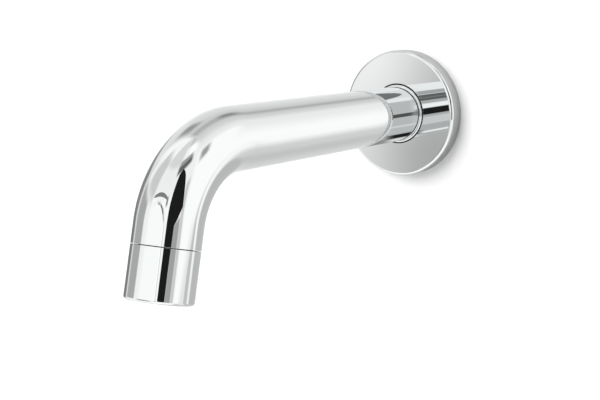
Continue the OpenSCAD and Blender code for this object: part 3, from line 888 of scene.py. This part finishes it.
# The wall's side, by the turn about the spout's run and the angle off it.
AROUND_WALL = (
    (-165, 218), (-120, 204), (-78, 192), (-48, 206), (-14, 249), (6, 250),
    (58, 232), (80, 206), (95, 172), (107, 202), (128, 214), (170, 228),
)
BEHIND = (
    Panel(-8, 52, 50, 100, 6, 6, 250),  # lit wall on the right
    Panel(-62, -9, 56, 75, 4, 5, 225),
    Panel(-62, -12, 41.8, 56, 3, 2.2, 190),  # dimmer wall under it
    Panel(-150, -16, 8, 32.2, 6, 2, 182),
    Panel(160, 190, 62, 90, 5, 4, 128),  # dark gap on the left
    Panel(-200, -160, 56, 91, 5, 3, 120),
    Panel(92, 104, 48, 62, 5, 5, 138),  # dark seam of the ceiling
    Panel(112, 132, 72, 86, 6, 5, 150),
    Panel(36, 49, 76, 86, 4, 3, 156),
)

# What the flange and the run mirror in each other: two rings of narrow bars, each with its angles off the run,
# their softness, and its bars by turn, softness and level.
BARS = [
    Panel(turn_0, turn_1, off_0, off_1, soft, off_soft, level)
    for off_0, off_1, off_soft, bars in (
        (
            148.4, 150.6, 0.3,
            (
                (-155, -12, 3, 168), (-60, -25, 3, 196), (-112, -98, 3, 226), (-15, 13, 2, 26),
                (16, 29, 3, 236), (33, 46, 3, 165), (46, 75, 2, 92), (57, 63, 1.5, 112),
                (77, 97, 2, 158), (101, 128, 3, 226),
            ),
        ),
        (
            146.6, 148.4, 0.4,
            (
                (-150, -116, 3, 203), (-113, -88, 3, 26), (-84, -10, 4, 180), (-52, -44, 3, 206),
                (-10, 6, 2, 78), (6, 57, 3, 180), (59, 67, 3, 228), (74, 124, 3, 215),
            ),
        ),
    )
    for turn_0, turn_1, soft, level in bars
]

# Two cards nearer than the room, by azimuth and height from the nozzle. The rail is an arch above the main
# soft box. Each of its two edges has a height at the middle, and a fall from there.
DOORWAY = (
    (38.3, -10), (38.3, 12), (41, 27), (45, 38), (50, 48), (58, 51), (65, 47),
    (71, 40), (79, 22), (82, 13), (70, 9.5), (62, 8), (60.5, 5.5), (60.3, -10),
)
DOORWAY_LEVEL = 28
RAIL_MIDDLE = 2
RAIL_HALF = 26
RAIL_STEPS = 8  # in each half
RAIL_EDGES = ((36.3, 0.006), (39.9, 0.008))
RAIL_LEVEL = 124

NEAR_WALL_SIDES = 96
SENSOR_WIDTH = 36  # mm
CLIP_START = 0.01  # metres


def shown(level, times=1):
    """Radiance that the chrome shows as that sRGB level after some reflections."""
    return linear("#" + f"{round(level):02X}" * 3)[0] / REFLECTANCE**times


def share(tree, at, low, high, soft):
    """A soft-edged band of one angle, as a socket from 0 to 1."""
    off = add(tree, "ShaderNodeMath", {0: at, 1: (low + high) / 2}, operation="SUBTRACT")
    far = add(tree, "ShaderNodeMath", {0: off.outputs[0]}, operation="ABSOLUTE")
    half = (high - low) / 2
    band = add(
        tree,
        "ShaderNodeMapRange",
        {"Value": far.outputs[0], "From Min": half + soft, "From Max": half - soft},
        interpolation_type="SMOOTHSTEP",
    )
    return band.outputs["Result"]


def hung(tree, level, panels, a, b, times=1):
    """The level with panels hung in front of it, as the chrome shows them after some reflections."""
    for panel in panels:
        across = share(tree, a, panel.a0, panel.a1, panel.soft_a)
        upright = share(tree, b, panel.b0, panel.b1, panel.soft_b)
        both = add(tree, "ShaderNodeMath", {0: across, 1: upright}, operation="MULTIPLY")
        mix = add(
            tree,
            "ShaderNodeMix",
            {"Factor": both.outputs[0], "A": level, "B": shown(panel.level, times)},
            data_type="FLOAT",
        )
        level = mix.outputs["Result"]
    return level


def around(tree, at, stops):
    """The level round a full turn, from a few stops."""
    turn = add(tree, "ShaderNodeMapRange", {"Value": at, "From Min": -180, "From Max": 180})
    ramp = add(tree, "ShaderNodeValToRGB", {"Fac": turn.outputs["Result"]})
    ramp.color_ramp.interpolation = "EASE"
    elements = ramp.color_ramp.elements
    while len(elements) < len(stops):
        elements.new(1.0)
    for element, (degrees, level) in zip(elements, stops):
        element.position = (degrees + 180) / 360
    # The ramp holds half of each level, so that none passes 1.
    for element, (degrees, level) in zip(elements, stops):
        element.color = [shown(level) / 2] * 3 + [1]
    return add(tree, "ShaderNodeMath", {0: ramp.outputs["Color"], 1: 2.0}, operation="MULTIPLY").outputs[0]


def toward(azimuth, height):
    """Direction at an azimuth from the wall's normal and a height above level, in degrees."""
    a, h = math.radians(azimuth), math.radians(height)
    return Vector((math.sin(a) * math.cos(h), -math.cos(a) * math.cos(h), math.sin(h)))


def dull(name, base, glow=0.0):
    """A pale surface, clear from behind. Its glow is the share of plain white that the camera sees."""
    material = blank(name)
    tree = material.node_tree
    pale = add(tree, "ShaderNodeBsdfDiffuse", {"Color": [*base, 1]})
    clear = add(tree, "ShaderNodeBsdfTransparent")
    if glow:
        path = add(tree, "ShaderNodeLightPath")
        lift = add(tree, "ShaderNodeMath", {0: path.outputs["Is Camera Ray"], 1: glow}, operation="MULTIPLY")
        light = add(tree, "ShaderNodeEmission", {"Strength": 1.0})
        pale = add(tree, "ShaderNodeMixShader", {0: lift.outputs[0], 1: pale.outputs[0], 2: light.outputs[0]})
    back = add(tree, "ShaderNodeNewGeometry").outputs["Backfacing"]
    sided = add(tree, "ShaderNodeMixShader", {0: back, 1: pale.outputs[0], 2: clear.outputs[0]})
    add(tree, "ShaderNodeOutputMaterial", {"Surface": sided.outputs[0]})
    return material


def sheet(name, corners, material):
    """A flat stage surface."""
    mesh = bpy.data.meshes.new(name)
    mesh.from_pydata([tuple(c) for c in corners], [], [tuple(range(len(corners)))])
    mesh.materials.append(material)
    made = put(name, mesh)
    return made


def card(name, corners, level):
    """A flat card seen only in the chrome, with its corners by azimuth and height from the nozzle."""
    studio = bpy.context.scene.spout_studio
    material = blank(name)
    tree = material.node_tree
    glow = add(tree, "ShaderNodeEmission", {"Strength": shown(level)})
    add(tree, "ShaderNodeOutputMaterial", {"Surface": glow.outputs[0]})
    rays = [toward(*corner) for corner in corners]
    aim = sum(rays, Vector()).normalized()
    far = [ray * (studio.card_distance / ray.dot(aim)) for ray in rays]
    made = sheet(name, [studio.nozzle + ray for ray in far], material)
    made.visible_camera = made.visible_diffuse = made.visible_shadow = made.visible_transmission = False


class SPOUT_OT_studio(bpy.types.Operator):
    """Sets up the wall, the floor, the room, the light and the camera"""

    bl_idname = "spout.studio"
    bl_label = "Set up studio"

    def execute(self, context):
        scene = context.scene
        studio = scene.spout_studio
        self.room(scene, studio)
        self.surfaces(studio)
        self.lights(studio)
        self.camera(scene, studio)
        scene.view_settings.view_transform = "Standard"
        return {"FINISHED"}

    def room(self, scene, studio):
        """What the chrome mirrors, and the even light on everything else."""
        world = bpy.data.worlds.new("Room")
        scene.world = world
        world.use_nodes = True
        tree = world.node_tree
        tree.nodes.clear()
        at = add(tree, "ShaderNodeTexCoord")
        split = add(tree, "ShaderNodeSeparateXYZ", {0: at.outputs["Generated"]})
        x, y, z = (split.outputs[k] for k in "XYZ")
        away = add(tree, "ShaderNodeMath", {0: y, 1: -1.0}, operation="MULTIPLY").outputs[0]
        azimuth, height, turn, off = (
            add(tree, "ShaderNodeMath", {0: of}, operation="DEGREES").outputs[0]
            for of in (
                add(tree, "ShaderNodeMath", {0: x, 1: away}, operation="ARCTAN2").outputs[0],
                add(tree, "ShaderNodeMath", {0: z}, operation="ARCSINE").outputs[0],
                add(tree, "ShaderNodeMath", {0: z, 1: x}, operation="ARCTAN2").outputs[0],
                add(tree, "ShaderNodeMath", {0: y}, operation="ARCCOSINE").outputs[0],
            )
        )
        pale = add(tree, "ShaderNodeValue")
        pale.outputs[0].default_value = shown(PALE)
        front = hung(tree, pale.outputs[0], FRONT, azimuth, height)
        front = hung(tree, front, BARS, turn, off, 2)
        back = hung(tree, around(tree, turn, AROUND_WALL), BEHIND, turn, off)
        side = add(tree, "ShaderNodeMapRange", {"Value": y, "From Min": -BLEND, "From Max": BLEND})
        mirrored = add(
            tree, "ShaderNodeMix", {"Factor": side.outputs["Result"], "A": front, "B": back}, data_type="FLOAT"
        )
        path = add(tree, "ShaderNodeLightPath")
        seen, glossy = (path.outputs[f"Is {kind} Ray"] for kind in ("Camera", "Glossy"))
        dim = [studio.ambient] * 3 + [1]
        plain = add(tree, "ShaderNodeMixRGB", {"Fac": seen, "Color1": dim, "Color2": (1, 1, 1, 1)})
        colours = {"Fac": glossy, "Color1": plain.outputs["Color"], "Color2": mirrored.outputs["Result"]}
        both = add(tree, "ShaderNodeMixRGB", colours)
        light = add(tree, "ShaderNodeBackground", {"Color": both.outputs["Color"], "Strength": 1.0})
        add(tree, "ShaderNodeOutputWorld", {"Surface": light.outputs["Background"]})

    def surfaces(self, studio):
        """The pale wall and floor, the wall next to the flange, and the two cards."""
        w, h = studio.wall_width / 2, studio.wall_height / 2
        corners = [(-w, 0, -h), (w, 0, -h), (w, 0, h), (-w, 0, h)]
        wall = sheet("wall", corners, dull("pale_wall", studio.wall))
        # The wall next to the flange, which its rim mirrors with the shadow on it. Its grey, darker than the
        # pale wall, is painted shade that deepens that shadow in the rim.
        r, y = studio.near_wall, -studio.near_lift
        turns = [k * math.tau / NEAR_WALL_SIDES for k in range(NEAR_WALL_SIDES)]
        corners = [(r * math.cos(turn), y, r * math.sin(turn)) for turn in turns]
        near_wall = sheet("near_wall", corners, dull("near_wall", studio.near_wall_shade))
        near_wall.visible_camera = near_wall.visible_diffuse = near_wall.visible_shadow = False
        w, z = studio.floor_width / 2, -studio.floor_drop
        corners = [(-w, -w, z), (w, -w, z), (w, w, z), (-w, w, z)]
        floor = sheet("floor", corners, dull("pale_floor", studio.wall, studio.floor_glow))
        wall.visible_glossy = floor.visible_glossy = False
        card("doorway", DOORWAY, DOORWAY_LEVEL)
        stops = [RAIL_MIDDLE + RAIL_HALF * (k / RAIL_STEPS - 1) for k in range(2 * RAIL_STEPS + 1)]
        lower, upper = ([(a, top - fall * (a - RAIL_MIDDLE) ** 2) for a in stops] for top, fall in RAIL_EDGES)
        card("rail", lower + upper[::-1], RAIL_LEVEL)

    def lights(self, studio):
        """One large soft key from the upper left."""
        data = bpy.data.lights.new("Key", "AREA")
        data.shape = "DISK"
        data.size = studio.key_size
        data.energy = studio.key_power
        key = put("Key", data)
        key.location = studio.key_place
        key.rotation_euler = key.location.to_track_quat("Z", "Y").to_euler()
        key.visible_glossy = False
        # Only the flange stands close enough to the wall for its shadow to show in so soft a light.
        casts = bpy.data.collections.new("Casts shadow")
        casts.objects.link(bpy.data.objects["flange"])
        key.light_linking.blocker_collection = casts

    def camera(self, scene, studio):
        """The camera, as matched to the picture."""
        data = bpy.data.cameras.new("Camera")
        data.sensor_width = SENSOR_WIDTH
        data.sensor_fit = "HORIZONTAL"
        data.lens = studio.lens
        data.shift_x, data.shift_y = -studio.nudge, studio.nudge
        data.clip_start = CLIP_START
        camera = put("Camera", data)
        yaw, pitch, roll = studio.yaw, studio.pitch, studio.roll
        ahead = Vector((-math.sin(yaw) * math.cos(pitch), math.cos(yaw) * math.cos(pitch), math.sin(pitch)))
        right = Vector((math.cos(yaw), math.sin(yaw), 0))
        up = right.cross(ahead)
        across = math.cos(roll) * right + math.sin(roll) * up
        upward = -math.sin(roll) * right + math.cos(roll) * up
        turned_to = Matrix((across, upward, -ahead)).transposed().to_4x4()
        camera.matrix_world = Matrix.Translation(studio.place) @ turned_to
        scene.camera = camera


class SPOUT_PT_panel(bpy.types.Panel):
    """The spout's sizes, finishes and steps"""

    bl_idname = "SPOUT_PT_panel"
    bl_label = "Wall Basin Spout"
    bl_space_type = "VIEW_3D"
    bl_region_type = "UI"
    bl_category = "Spout"

    def draw(self, context):
        layout = self.layout
        for operator in STEPS:
            layout.operator(operator.bl_idname)
        for group in (context.scene.spout_sizes, context.scene.spout_finishes, context.scene.spout_studio):
            box = layout.box()
            for key in group.bl_rna.properties.keys():
                if key not in ("rna_type", "name"):
                    box.prop(group, key)


STEPS = (
    SPOUT_OT_finishes,
    SPOUT_OT_tube,
    SPOUT_OT_root,
    SPOUT_OT_flange,
    SPOUT_OT_outlet,
    SPOUT_OT_wall_joint,
    SPOUT_OT_studio,
)
CLASSES = (SpoutSizes, SpoutFinishes, StudioSettings, *STEPS, SPOUT_PT_panel)


def register():
    for kind in CLASSES:
        bpy.utils.register_class(kind)
    bpy.types.Scene.spout_sizes = PointerProperty(type=SpoutSizes)
    bpy.types.Scene.spout_finishes = PointerProperty(type=SpoutFinishes)
    bpy.types.Scene.spout_studio = PointerProperty(type=StudioSettings)


def unregister():
    del bpy.types.Scene.spout_studio
    del bpy.types.Scene.spout_finishes
    del bpy.types.Scene.spout_sizes
    for kind in reversed(CLASSES):
        bpy.utils.unregister_class(kind)


def main():
    """Builds the spout and its studio."""
    register()
    bpy.ops.spout.finishes()
    bpy.ops.spout.tube()
    bpy.ops.spout.root()
    bpy.ops.spout.flange()
    bpy.ops.spout.outlet()
    bpy.ops.spout.wall_joint()
    bpy.ops.spout.studio()


if __name__ == "__main__":
    main()
